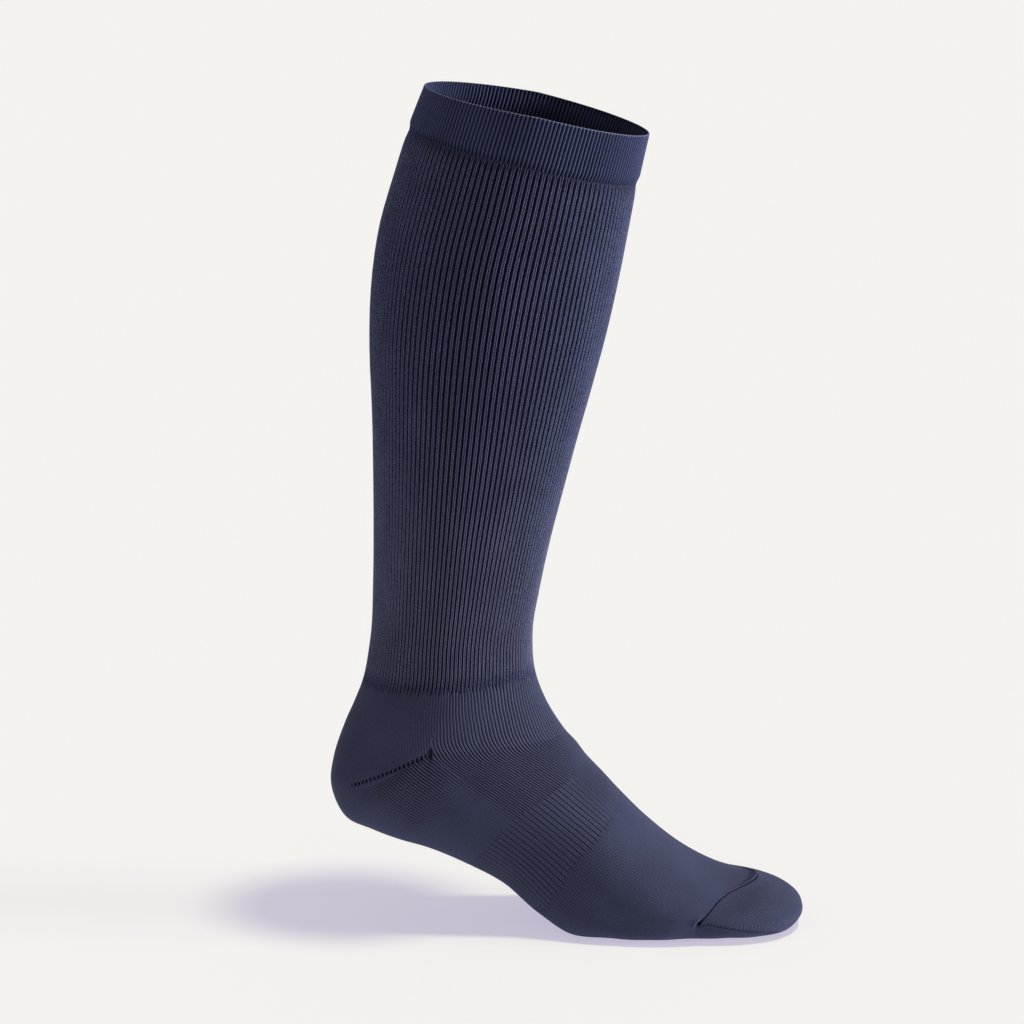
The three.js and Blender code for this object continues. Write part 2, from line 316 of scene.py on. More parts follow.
def side_of(ring):
    middle = tuple((a + b) / 2 for a, b in zip(ring.front, ring.back))
    return ring.side or middle


def front_half(ring):
    return half_ring(ring.name, side_of(ring), ring.front, ring.half, ELLIPSE, ring.late)


def back_half(ring):
    return half_ring(ring.name, side_of(ring), ring.back, ring.half, ring.sole)


def pocket_row(row, corner):
    return half_ring(row.name, corner.side, row.middle, corner.half, row.round)


BY_NAME = {ring.name: ring for ring in RINGS}
RIM = BY_NAME["rim"]
ORIGIN = np.array([(RIM.front[0] + RIM.back[0]) / 2, 0, (RIM.front[1] + RIM.back[1]) / 2])
HEEL_CORNER = BY_NAME["heel corner"]
TOE_CORNER = BY_NAME["toe corner"]
HEEL_INDEX = RINGS.index(HEEL_CORNER) + 1

# The front wales run straight down, and the back wales go round both pockets. Each list ends with
# one row past its last, which only gives its last stretch a direction.
FRONT = [front_half(ring) for ring in RINGS] + [pocket_row(TOE_ROWS[-1], TOE_CORNER)]
BACK = (
    [back_half(ring) for ring in RINGS[:HEEL_INDEX]]
    + [pocket_row(row, HEEL_CORNER) for row in HEEL_ROWS]
    + [back_half(ring) for ring in RINGS[HEEL_INDEX:]]
    + [pocket_row(row, TOE_CORNER) for row in TOE_ROWS]
    + [{**front_half(TOE_CORNER), "name": "toe seam"}, front_half(BY_NAME["toe roots"])]
)


def front_station(name):
    return [ring["name"] for ring in FRONT].index(name)


def back_station(name):
    return [ring["name"] for ring in BACK].index(name)


def rows_at(rings, share, hand):
    """Points of every ring at the given shares: (rings, wales, 3)."""
    mirrored = share > 1
    folded = np.where(mirrored, 2 - share, np.maximum(share, 0))
    side = np.where(mirrored, -hand, hand)
    rows = np.empty((len(rings), len(share), 3))
    for i, ring in enumerate(rings):
        target = folded * ring["lengths"][-1]
        for axis in range(3):
            rows[i, :, axis] = np.interp(target, ring["lengths"], ring["points"][:, axis])
        rows[i, :, 1] *= side
    return rows


def smooth(rows, station):
    """Points on the smooth curves through the rows, at one station: (wales, 3)."""
    last = len(rows) - 2
    first = min(max(math.floor(station), 0), last)
    b, c = rows[first], rows[first + 1]
    a = rows[first - 1] if first > 0 else 2 * b - c
    d = rows[first + 2] if first < last else 2 * c - b
    d1, d2, d3 = (
        np.sqrt(np.maximum(np.linalg.norm(q - p, axis=1, keepdims=True), LEAST_STEP))
        for p, q in ((a, b), (b, c), (c, d))
    )
    t = station - first
    start = ((b - a) / d1 - (c - a) / (d1 + d2) + (c - b) / d2) * d2
    end = ((c - b) / d2 - (d - b) / (d2 + d3) + (d - c) / d3) * d2
    return ((2 * b - 2 * c + start + end) * t + 3 * c - 3 * b - 2 * start - end) * t * t + start * t + b


def unit(vectors):
    return vectors / np.maximum(np.linalg.norm(vectors, axis=-1, keepdims=True), 1e-12)


def measured(turn, front, back):
    """Points and outward directions of a grid of courses by wales.

    turn says where each wale is: 0 at the front, 1 and 3 at the sides, 2 at the back.
    front and back are the stations of each course on the front and on the back wales.
    """
    hand = np.where(turn <= 2, 1.0, -1.0)
    fold = np.where(turn <= 2, turn, 4 - turn)
    behind = fold > 1
    share = np.abs(fold - 1)
    points = np.empty((len(back), len(turn), 3))
    out = np.empty_like(points)
    for rings, stations, chosen, sign in ((FRONT, front, ~behind, 1), (BACK, back, behind, -1)):
        if not chosen.any():
            continue
        s, h = share[chosen], hand[chosen]
        rows = rows_at(rings, s, h)
        more = rows_at(rings, s + SHARE_STEP, h)
        less = rows_at(rings, s - SHARE_STEP, h)
        for i, station in enumerate(stations):
            along = smooth(rows, station + STATION_STEP) - smooth(rows, station - STATION_STEP)
            across = smooth(more, station) - smooth(less, station)
            points[i, chosen] = smooth(rows, station)
            out[i, chosen] = unit(np.cross(across, along)) * (sign * h)[:, None]
    return points, out


def ring_turns(count):
    return 4 * np.arange(count) / count


def pocket_turns(count):
    """Turns of a pocket's wales, from close to one corner round the middle to close to the other."""
    turns = np.linspace(1, 3, count + 1)
    tip = CORNER_TIP * (turns[1] - turns[0])
    turns[0] += tip
    turns[-1] -= tip
    return turns


def spread(count, bunch):
    """Shares from 0 to 1, closer together near both ends."""
    s = np.linspace(0, 1, count + 1)
    return s - bunch * np.sin(2 * math.pi * s) / (2 * math.pi)


def edged(stations):
    """The same stations with one more close to each end, so that the faces there are shaded true."""
    first, last = stations[:1], stations[-1:]
    near = EDGE * (last - first)
    return np.concatenate([first, first + near, stations[1:-1], last - near, last])


def step(low, high, value):
    """0 up to low and 1 from high, smooth between. It falls instead where low is above high."""
    t = np.clip((value - low) / (high - low), 0, 1)
    return t * t * (3 - 2 * t)


def bell(value, width):
    return np.exp(-((value / width) ** 2))


def waver(turn, run):
    """A slow unevenness between -1 and 1, the same all the way round and each time."""
    angle = turn * math.pi / 2
    return (
        0.5 * np.sin(2 * angle + 0.031 * run + 1.3)
        + 0.3 * np.sin(5 * angle - 0.052 * run + 0.4)
        + 0.2 * np.sin(11 * angle + 0.083 * run + 2.2)
    )


def valley(phase, width):
    """1 at whole numbers of phase, falling to 0 within about twice the width."""
    return bell(phase - np.round(phase), width)


# Meshes


def strip(a, b, ratio):
    """Triangles between two lines of points, where a has ratio times as many steps as b."""
    steps = len(b) - 1
    last = steps * ratio
    triangles = [
        np.stack([a[k:last:ratio], a[k + 1 : last + 1 : ratio], b[:-1]], 1) for k in range(ratio)
    ]
    triangles.append(np.stack([b[:-1], a[ratio::ratio], b[1:]], 1))
    return np.concatenate(triangles)


def grid_quads(index):
    return np.stack([index[:-1, :-1], index[:-1, 1:], index[1:, 1:], index[1:, :-1]], -1).reshape(-1, 4)


def tube_mesh(name, outer, inner, closed, ratios, facts, wales, courses):
    """A closed wall from an outer grid and a coarser inner one, as a mesh in metres.

    ratios are the outer steps for each inner one, down and across. facts are values for each outer
    point, kept as attributes. wales and courses number the knit at each outer point.
    """
    down, across = ratios
    rows, columns = outer.shape[:2]
    inner_rows, inner_columns = inner.shape[:2]
    index = np.arange(rows * columns).reshape(rows, columns)
    inner_index = index.size + np.arange(inner_rows * inner_columns).reshape(inner_rows, inner_columns)
    if closed:
        index = np.concatenate([index, index[:, :1]], 1)
        inner_index = np.concatenate([inner_index, inner_index[:, :1]], 1)
        courses = np.concatenate([courses, courses[:, :1]], 1)
        wales = np.append(wales, WALES)
    wales = np.broadcast_to(wales, index.shape)
    walls = [
        strip(index[0], inner_index[0], across)[:, ::-1],
        strip(index[-1], inner_index[-1], across),
    ]
    if not closed:
        walls.append(strip(index[:, 0], inner_index[:, 0], down))
        walls.append(strip(index[:, -1], inner_index[:, -1], down)[:, ::-1])
    quads = np.concatenate([grid_quads(index), grid_quads(inner_index)[:, ::-1]])
    triangles = np.concatenate(walls)

    coarse = (slice(None, None, down), slice(None, None, across))
    knit = np.concatenate(
        [
            np.stack([grid_quads(wales), grid_quads(courses)], -1),
            np.stack([grid_quads(wales[coarse]), grid_quads(courses[coarse])], -1)[:, ::-1],
        ]
    )
    far, low = np.meshgrid(np.linspace(0, 1, index.shape[1]), np.linspace(0, 0.5, rows))
    flat = np.concatenate(
        [
            np.stack([grid_quads(far), grid_quads(low)], -1),
            np.stack([grid_quads(far[coarse]), 1 - grid_quads(low[coarse])], -1)[:, ::-1],
        ]
    )
    points = (np.concatenate([outer.reshape(-1, 3), inner.reshape(-1, 3)]) - ORIGIN) * MM
    return build_mesh(name, points, quads, triangles, {KNIT_MAP: knit, BAKE_MAP: flat}, facts)


def build_mesh(name, points, quads, triangles, maps, facts):
    """A mesh of quads and triangles facing out, with its maps on the quads and facts on its first points.

    The points after those are on the inside, which is painted darker as the shade inside the tube.
    """
    a, b, c, d = (points[quads[:, k]] for k in range(4))
    if np.einsum("ij,ij->i", a, np.cross(b, c) + np.cross(c, d)).sum() < 0:
        quads = quads[:, ::-1]
        triangles = triangles[:, ::-1]
        maps = {key: values[:, ::-1] for key, values in maps.items()}
    mesh = bpy.data.meshes.new(name)
    mesh.vertices.add(len(points))
    mesh.vertices.foreach_set("co", points.ravel())
    corners = np.concatenate([quads.ravel(), triangles.ravel()])
    sizes = np.concatenate([np.full(len(quads), 4), np.full(len(triangles), 3)])
    mesh.loops.add(len(corners))
    mesh.loops.foreach_set("vertex_index", corners)
    mesh.polygons.add(len(sizes))
    mesh.polygons.foreach_set("loop_start", np.concatenate([[0], np.cumsum(sizes)[:-1]]))
    mesh.polygons.foreach_set("use_smooth", sizes == 4)
    mesh.update(calc_edges=True)
    for key, values in maps.items():
        layer = mesh.uv_layers.new(name=key)
        rest = np.zeros((triangles.size, 2))
        layer.uv.foreach_set("vector", np.concatenate([values.reshape(-1, 2), rest]).ravel())
    for key, values in facts.items():
        layer = mesh.attributes.new(key, "FLOAT", "POINT")
        rest = np.full(len(points) - values.size, INSIDE[key])
        layer.data.foreach_set("value", np.concatenate([values.ravel(), rest]))
    return mesh


def dress(mesh, node, material):
    """Makes the piece that stands for a node, with the material of its knit, and hides the node."""
    piece = bpy.data.objects.new(mesh.name, mesh)
    bpy.context.scene.collection.objects.link(piece)
    mesh.materials.append(material)
    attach(piece, "root")
    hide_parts(node)
    return piece


# Relief of the knit: each function gives the depth and the facts of every outer point. Lengths are in
# millimetres, and places round a ring are turns or from_side's numbers.


def in_mm(size):
    """One of the relief's sizes, in millimetres."""
    return getattr(bpy.context.scene.stocking_sizes, size) / MM


def facts_of(groove, pale=0.0, hole=0.0):
    """The first is painted shade by how deep a point lies in the knit, the second how much lighter the yarn
    is painted, with painted highlights among it, and the third painted shade by how open it is.
    """
    return {
        "groove": np.clip(groove, 0, 1),
        "pale": np.zeros_like(groove) + pale,
        "hole": np.zeros_like(groove) + hole,
    }


def from_side(turn):
    """How far a wale is from the side: -1 at the front middle, 0 at the side and 1 at the back middle."""
    return 1 - np.abs(turn - 2)


def near_corner(points, ring, wide, high):
    """1 at the two corners of a pocket, falling to 0 within about twice the distances given."""
    corner = np.array([ring.side[0], ring.half, ring.side[1]])
    folded = np.abs(points * (0, 1, 0)) + points * (1, 0, 1)
    return bell(np.linalg.norm((folded - corner) / (wide, wide, high), axis=-1), 1.0)


def heel_notch(points):
    return near_corner(points, HEEL_CORNER, 0.9, 2.4)


def near_side(side):
    """1 close behind the side, where the fine ribs are crowded, falling to 0 towards the sole."""
    return step(0.4, 0.05, side)


def ragged(phase):
    """An irregular number from 0 to 1 for each rib, the same along its length."""
    rib = np.round(phase)
    return 0.5 + 0.3 * np.sin(2.4 * rib) + 0.2 * np.sin(5.1 * rib + 1)


def rib_gap(phase, half_width):
    """1 in the gap between two ribs, at whole numbers of phase, and 0 on the ribs."""
    return step(half_width, half_width - GAP_EDGE, np.abs(phase - np.round(phase)))


def tail(gap, phase, past, reach):
    """The gaps of a zone's ribs as they run out unevenly past its end."""
    return gap * step(1.0, 0.4, past / reach + 0.6 * ragged(phase))


def rib_ends(side):
    """How clearly the leg's ribs end: open on the flank, closing up towards the shin and the heel."""
    return 0.5 + 0.5 * step(-0.35, 0.0, side) * step(0.85, 0.45, side)


def leg_phase(turn):
    return turn * LEG_RIBS / 4


def arch_phase(turn):
    return turn * ARCH_RIBS / 4


def fine_phase(turn):
    return turn * FINE_RIBS / 4


def arch_gaps(zone):
    """The gaps between the coarse ribs of the arch, which turn shallow on top of the foot."""
    return valley(arch_phase(zone.turn), ARCH_GAP) * (0.25 + 0.75 * step(-0.95, -0.3, zone.side))


def arch_tails(zone, past, reach):
    return 0.65 * tail(arch_gaps(zone), arch_phase(zone.turn), past, reach)


def fine_relief(phase, strength, extra=0.0, hole=0.0):
    """Fine ribs of the strength given, 0 where the knit is plain, with what else raises or opens it. Their
    grooves and openings get painted shade, and the ribbed knit is painted lighter.
    """
    groove = valley(phase, FINE_GAP) * strength
    lightened = 0.3 * np.clip(strength, 0, 1)
    return BASE - in_mm("fine_groove") * groove + extra, facts_of(0.9 * groove, lightened, hole)


def leg_relief(zone):
    run, left = zone.run, zone.left
    drift = 0.1 * waver(zone.turn, run) * step(2, 30, run) * step(2, 30, left)
    phase = leg_phase(zone.turn) + drift
    # The ribs close up where the leg narrows, and the yarn is painted lighter there, towards the ankle
    narrowing = step(90.0, 240.0, run)
    closing = 1 - (1 - rib_ends(zone.side)) * step(6.0, 0.0, left)
    opening = step(-4.0, 6.0, run)
    groove = rib_gap(phase, LEG_GAP + (ANKLE_GAP - LEG_GAP) * narrowing) * opening * closing
    split = valley(phase + 0.5, LEG_SPLIT)
    wale_highlight = bell(np.abs(phase - np.round(phase)) - HIGHLIGHT_PLACE, HIGHLIGHT_WIDTH)
    # The leg draws in under the welt, with painted shade in the tuck, and comes down to plain knit at the
    # ankle
    tuck = bell(run, 4.0)
    depth = BASE * step(16.0, 0.0, left) - 0.6 * tuck
    depth = depth - in_mm("leg_groove") * groove - in_mm("leg_split") * split
    # Painted highlight on the crowns of the wales; painted shade in the gaps and splits
    pale = 0.15 + 0.4 * narrowing * step(0.0, 8.0, left) + 0.5 * wale_highlight * closing
    return depth, facts_of(groove + 0.8 * split + 0.3 * tuck, pale)


def ankle_relief(zone):
    side, run = zone.side, zone.run
    # The wales that end at the heel corner come straight down to it
    lean = 0.147 * (1 - run / run[-1:]) * step(-0.9, -0.1, side) * step(0.9, 0.3, side)
    strength = PLAIN + 0.94 * step(0.34, -0.1, side)
    rib = leg_phase(zone.turn)
    gap = tail(rib_gap(rib, ANKLE_GAP), rib, run, LEG_TAIL) * rib_ends(side)
    notch = heel_notch(zone.points)
    extra = -HEEL_NOTCH * notch - 0.95 * in_mm("leg_groove") * gap
    # Painted shade in the heel notch and in the leg's gaps as they run out
    return fine_relief(fine_phase(side - lean), strength, extra, 2 * notch + 0.4 * gap)


def heel_relief(zone):
    side = zone.side
    gore_station = back_station("heel gore")
    gore_row = np.abs(zone.stations - gore_station).argmin()
    past = zone.run - zone.run[gore_row]
    # Past the gore line the ribs run straight on to the sole, and don't close in on the corners
    corner = np.array([HEEL_CORNER.side[0], HEEL_CORNER.side[1]])
    middle = zone.points[:, zone.points.shape[1] // 2][:, [0, 2]] - corner
    gore, back = middle[gore_row], middle[-1]
    parts = np.linalg.solve(np.stack([gore, back], 1), middle.T)
    swing = np.where(zone.stations > gore_station, parts.sum(0), 1.0)[:, None]
    straight = 2 - np.sign(2 - zone.turn) * (1 - side * swing)
    near = near_side(side)
    # The ribs begin a little below the gore line, later towards the sole
    begin = 0.2 + 2.6 * step(0.12, 0.5, side)
    below = step(0.0, 1.4, past - begin) * step(0.72, 0.58, side)
    strength = PLAIN + below * step(0.78, 0.45, side * swing) * (0.94 + 0.7 * near)
    notch = heel_notch(zone.points)
    reach = step(0.66, 0.60, side) * step(0.02, 0.04, side)
    holes = bell(past, 0.8 + 0.4 * near) * valley(zone.turn * HEEL_HOLES, 0.23 + 0.05 * near) * reach
    lip = 0.12 * bell(past - 1.4, 0.6) * reach
    extra = -HEEL_NOTCH * notch - HEEL_HOLE * holes + lip
    # Painted shade in the notch and the turning holes
    return fine_relief(fine_phase(straight), strength, extra, 2 * notch + 1.5 * holes)


def instep_relief(zone):
    side = zone.side
    t = zone.run / zone.run[-1:]
    front = step(0.1, -0.05, side) * (1.0 - 0.2 * t)
    # Behind the side the ribs fade out on the sole, and halfway to the arch
    flank = step(-0.05, 0.1, side) * step(0.78, 0.45, side)
    back = flank * (0.94 + 0.7 * near_side(side)) * (1 - 0.95 * step(0.0, 0.5, t))
    notch = heel_notch(zone.points)
    gap = arch_tails(zone, zone.left, ARCH_TAIL_BACK)
    extra = -HEEL_NOTCH * notch - in_mm("arch_groove") * gap
    strength = PLAIN + 1.25 * front + back
    # Painted shade in the heel notch and in the arch band's gaps as they run out
    return fine_relief(fine_phase(zone.turn), strength, extra, 2 * notch + 0.4 * gap)


def arch_relief(zone):
    phase = arch_phase(zone.turn)
    groove = arch_gaps(zone) + 0 * zone.run
    # The instep's fine ribs run on over the top of the foot
    top = step(-0.3, -0.9, zone.side) * step(1.4, 0.2, zone.run / zone.run[-1:])
    split = 0.5 * valley(phase + 0.5, ARCH_SPLIT) + top * valley(fine_phase(zone.turn), FINE_GAP)
    depth = BASE - in_mm("arch_groove") * groove - in_mm("fine_groove") * split
    return depth, facts_of(0.6 * groove + 0.5 * split, pale=0.25)


def forefoot_relief(zone):
    side, run, left = zone.side, zone.run, zone.left
    t = run / run[-1:]
    # The ribs waver low on the side behind the ball, and show faintly on top
    wavy = step(0.34, 0.1, t) * step(-0.25, 0.05, side) * step(0.95, 0.5, side)
    top = 0.35 * step(-1.0, -0.6, side) * step(0.0, -0.3, side) * step(0.9, 0.3, t)
    strength = 0.08 + 0.5 * wavy + top
    phase = fine_phase(zone.turn) + 0.35 * wavy * np.sin(run / 2.4 + 6 * zone.turn)
    # Over the top of the foot the toe seam is a line behind a small ridge, with a bump at each corner
    line = step(0.02, -0.02, side) * bell(left, 0.3)
    ridge = bell(side + 1, 0.3) * bell(left - 0.8, 0.7)
    bump = near_corner(zone.points, TOE_CORNER, 3.0, 3.0) * step(0.0, 2.0, left)
    gap = arch_tails(zone, run, ARCH_TAIL_FRONT)
    extra = SEAM_RIDGE * ridge - SEAM * line + SEAM_BUMP * bump - in_mm("arch_groove") * gap
    # Painted shade along the seam line and in the arch band's gaps as they run out
    return fine_relief(phase, strength, extra, line + 0.4 * gap)


def toe_relief(zone):
    side, left = zone.side, zone.left
    gore_row = np.abs(zone.stations - back_station("toe gore")).argmin()
    past = zone.run - zone.run[gore_row]
    reach = step(0.62, 0.5, side) * step(0.03, 0.06, side)
    holes = 0.7 * bell(past, 0.7) * valley(zone.turn * TOE_HOLES, 0.22) * reach
    line = bell(left, 0.3 + 0.35 * near_corner(zone.points, TOE_CORNER, 6.0, 6.0))
    notch = near_corner(zone.points, TOE_CORNER, 1.5, 1.5)
    extra = -SEAM * line - TOE_HOLE * holes - TOE_NOTCH * notch
    strength = 0.1 + 0.3 * step(0.0, 4.0, past) * step(0.05, 0.4, side) * step(0.0, 6.0, left)
    # Painted shade in the turning holes, along the seam line and in the notch at each corner
    return fine_relief(fine_phase(zone.turn), strength, extra, holes + line + 1.6 * notch)


# Pieces


def knit_zone(name, turn, closed, stations, wall, ratios, relief):
    """The mesh of one zone of the knit, between the front and back stations of its courses."""
    front, back = stations
    points, out = measured(turn, front, back)
    steps = np.linalg.norm(np.diff(points, axis=0), axis=2)
    run = np.concatenate([np.zeros((1, len(turn))), np.cumsum(steps, 0)])
    depth, facts = relief(Zone(turn, from_side(turn), points, run, run[-1:] - run, back))
    outer = points + out * depth[..., None]
    # The sole lies flat on the floor
    outer[..., 2] = np.maximum(outer[..., 2], CAD_BOX[0][2] / MM + ORIGIN[2])
    down, across = ratios
    inner = (points - wall * out)[::down, ::across]
    return tube_mesh(name, outer, inner, closed, ratios, facts, turn * WALES / 4, run)


def between(start, end, shares, back_start=None):
    """The stations of the courses between two rings, on the front wales and on the back ones."""
    fronts = front_station(start), front_station(end)
    backs = back_station(back_start or start), back_station(end)
    return [low + (high - low) * shares for low, high in (fronts, backs)]


def welt_mesh():
    """A doubled band, thin at its rim, with one by one ribs outside and in."""
    turn = ring_turns(FINE_RIBS * FINE_COLUMNS)
    down = np.array(WELT_ROWS)
    angles = np.linspace(0, math.pi, FOLD_ROWS)
    fold = RIM_WALL / 2 * (1 - np.sin(angles)) / WELT_LENGTH
    # The rows go up the outside, where face is 1, round the fold and down the inside, where it is -1
    station = np.concatenate([down, fold, down[::-1]])
    face = np.concatenate([np.ones(len(down)), np.cos(angles), -np.ones(len(down))])
    points, out = measured(turn, station, station)
    wall = RIM_WALL + (WELT_WALL - RIM_WALL) * step(0.0, 0.3, station)
    end = step(0.82, 1.0, station) * (face > 0)
    height = WELT_STEP - wall * (1 - face) / 2 - WELT_DRAW * end
    run = np.abs(station)[:, None] * WELT_LENGTH
    phase = fine_phase(turn) + 0.12 * waver(turn, run)
    groove = valley(phase, WELT_GAP) * (1 - 0.6 * (np.abs(face) < 0.9))[:, None]
    depth = height[:, None] - in_mm("welt_groove") * groove * np.sign(face)[:, None]
    outer = points + out * depth[..., None]
    # Painted highlight along the fold of the rim; painted shade in the grooves, at the drawn-in lower edge
    # and on the inside
    rim_highlight = (bell(station, 0.02) * (face > 0.3))[:, None] + 0 * groove
    inside_shade = (face < 0)[:, None]
    facts = facts_of(groove + 0.3 * end[:, None] + 0.1 * inside_shade, pale=rim_highlight)
    return ring_mesh("welt_knit", outer, facts, turn * WALES / 4, run + 0 * groove)


def ring_mesh(name, outer, facts, wales, courses):
    """A closed tube wall whose courses go down one face and back up the other."""
    rows, columns = outer.shape[:2]
    index = np.arange(rows * columns).reshape(rows, columns)
    index = np.concatenate([index, index[:, :1]], 1)
    index = np.concatenate([index, index[:1]])
    courses = np.concatenate([courses, courses[:, :1]], 1)
    courses = np.concatenate([courses, courses[:1]])
    wales = np.broadcast_to(np.append(wales, WALES), index.shape)
    far, low = np.meshgrid(np.linspace(0, 1, columns + 1), np.linspace(0, 1, rows + 1))
    knit = np.stack([grid_quads(wales), grid_quads(courses)], -1)
    flat = np.stack([grid_quads(far), grid_quads(low)], -1)
    points = (outer.reshape(-1, 3) - ORIGIN) * MM
    none = np.empty((0, 3), int)
    return build_mesh(name, points, grid_quads(index), none, {KNIT_MAP: knit, BAKE_MAP: flat}, facts)


def leg_mesh():
    stations = between("welt end", "rib end", edged(spread(count=54, bunch=0.86)))
    turn = ring_turns(LEG_RIBS * LEG_COLUMNS)
    return knit_zone("leg_knit", turn, True, stations, RIB_WALL, (4, 8), leg_relief)


def ankle_mesh():
    stations = between("rib end", "heel corner", edged(spread(count=30, bunch=0.5)))
    turn = ring_turns(FINE_RIBS * FINE_COLUMNS)
    return knit_zone("ankle_knit", turn, True, stations, WALL, (4, 6), ankle_relief)


def heel_mesh():
    start, gore, end = (back_station(name) for name in ("heel corner", "heel gore", "heel return"))
    above = gore - (gore - start) * np.linspace(1, 0, 36) ** 1.6
    below = gore + (end - gore) * np.linspace(0, 1, 72)[1:] ** 1.4
    back = edged(np.concatenate([above, below]))
    turn = pocket_turns(FINE_RIBS * FINE_COLUMNS // 2)
    return knit_zone("heel_knit", turn, False, (back, back), WALL, (6, 6), heel_relief)


def instep_mesh():
    shares = edged(spread(count=34, bunch=0.4))
    stations = between("heel corner", "arch start", shares, back_start="heel return")
    turn = ring_turns(FINE_RIBS * FINE_COLUMNS)
    return knit_zone("instep_knit", turn, True, stations, WALL, (6, 6), instep_relief)


def arch_mesh():
    stations = between("arch start", "arch end", edged(spread(count=34, bunch=0.5)))
    turn = ring_turns(ARCH_RIBS * ARCH_COLUMNS)
    return knit_zone("arch_band_knit", turn, True, stations, WALL, (6, 6), arch_relief)


def forefoot_mesh():
    stations = between("arch end", "toe corner", edged(spread(count=62, bunch=0.6)))
    turn = ring_turns(FINE_RIBS * FINE_COLUMNS)
    return knit_zone("forefoot_knit", turn, True, stations, WALL, (8, 6), forefoot_relief)


def toe_mesh():
    start, gore, end = (back_station(name) for name in ("toe corner", "toe gore", "toe seam"))
    sole = gore - (gore - start) * np.linspace(1, 0, 32) ** 1.4
    rise = np.linspace(0, 1, 64)[1:]
    top = gore + (end - gore) * (1 - (1 - rise) ** 1.3)
    back = edged(np.concatenate([sole, top]))
    turn = pocket_turns(FINE_RIBS * FINE_COLUMNS // 2)
    return knit_zone("toe_knit", turn, False, (back, back), WALL, (6, 6), toe_relief)


# Materials


def add_node(tree, kind, settings=None, values=None, links=None):
    """Adds one node, with its settings, its sockets' values and its links from other sockets."""
    node = tree.nodes.new(kind)
    for key, value in (settings or {}).items():
        setattr(node, key, value)
    for key, value in (values or {}).items():
        node.inputs[key].default_value = value
    for key, source in (links or {}).items():
        tree.links.new(source, node.inputs[key])
    return node


def new_material(name):
    material = bpy.data.materials.new(name)
    material.use_nodes = True
    material.node_tree.nodes.clear()
    return material


def knitted_nylon(name, colour, fleck):
    """Textured nylon and elastane yarn, knitted and not brushed: matt, with a soft sheen at its edges.

    fleck is how strongly the single stitches show.
    """
    colours = bpy.context.scene.stocking_colours
    material = new_material(name)
    tree = material.node_tree
    knit = add_node(tree, "ShaderNodeUVMap", {"uv_map": KNIT_MAP})
    # A stitch is one wale wide, and its specks of yarn are a little smaller
    stitches = add_node(
        tree,
        "ShaderNodeMapping",
        values={"Scale": (SPECKS, SPECKS / STITCH, 1.0)},
        links={"Vector": knit.outputs["UV"]},
    )
    speck = add_node(
        tree,
        "ShaderNodeTexNoise",
        {"noise_dimensions": "2D"},
        {"Scale": 1.0, "Detail": 2.0, "Roughness": 0.6},
        {"Vector": stitches.outputs["Vector"]},
    )
    place = add_node(tree, "ShaderNodeTexCoord")
    # Uneven dye and tension
    patch = add_node(
        tree,
        "ShaderNodeTexNoise",
        values={"Scale": 1 / (PATCH * MM), "Detail": 3.0, "Roughness": 0.5},
        links={"Vector": place.outputs["Object"]},
    )
    groove = add_node(tree, "ShaderNodeAttribute", {"attribute_name": "groove"})
    pale = add_node(tree, "ShaderNodeAttribute", {"attribute_name": "pale"})
    hole = add_node(tree, "ShaderNodeAttribute", {"attribute_name": "hole"})
    value = add_node(
        tree,
        "ShaderNodeMapRange",
        values={"From Min": 0.3, "From Max": 0.7, "To Min": 1 - fleck, "To Max": 1 + fleck},
        links={"Value": speck.outputs["Fac"]},
    )
    patches = add_node(
        tree,
        "ShaderNodeMapRange",
        values={"From Min": 0.3, "From Max": 0.7, "To Min": 0.9, "To Max": 1.1},
        links={"Value": patch.outputs["Fac"]},
    )
    both = add_node(
        tree,
        "ShaderNodeMath",
        {"operation": "MULTIPLY"},
        links={0: value.outputs["Result"], 1: patches.outputs["Result"]},
    )
    lightened = add_node(
        tree,
        "ShaderNodeMath",
        {"operation": "MULTIPLY_ADD"},
        {1: 0.9},
        {0: pale.outputs["Fac"], 2: both.outputs["Value"]},
    )
    # Where the yarn is painted lighter, on the highlights, on the ribbed zones and towards the ankle, it is
    # less blue too
    desaturated = add_node(
        tree,
        "ShaderNodeMath",
        {"operation": "MULTIPLY_ADD"},
        {1: -0.35, 2: 1.0},
        {0: pale.outputs["Fac"]},
    )
    yarn = add_node(
        tree,
        "ShaderNodeHueSaturation",
        values={"Color": colour},
        links={"Value": lightened.outputs["Value"], "Saturation": desaturated.outputs["Value"]},
    )
    # Painted shade: the yarn darkens towards the groove colour by how deep it lies and, below, by how open
    # it is
    groove_shaded = add_node(
        tree,
        "ShaderNodeMix",
        {"data_type": "RGBA"},
        {"B": colours.groove},
        {"A": yarn.outputs["Color"], "Factor": groove.outputs["Fac"]},
    )
    hole_shaded = add_node(
        tree,
        "ShaderNodeMix",
        {"data_type": "RGBA"},
        {"B": colours.groove},
        {"A": groove_shaded.outputs["Result"], "Factor": hole.outputs["Fac"]},
    )
    bump = add_node(
        tree,
        "ShaderNodeBump",
        values={"Strength": 0.6, "Distance": 0.15 * MM},
        links={"Height": speck.outputs["Fac"]},
    )
    cloth = add_node(
        tree,
        "ShaderNodeBsdfPrincipled",
        values={
            "Roughness": 0.85,
            "IOR": 1.53,
            "Specular IOR Level": 0.1,
            "Sheen Weight": 0.1,
            "Sheen Roughness": 0.45,
            "Sheen Tint": linear("#c4c6ee"),
        },
        links={"Base Color": hole_shaded.outputs["Result"], "Normal": bump.outputs["Normal"]},
    )
    add_node(tree, "ShaderNodeOutputMaterial", links={"Surface": cloth.outputs["BSDF"]})
    return material


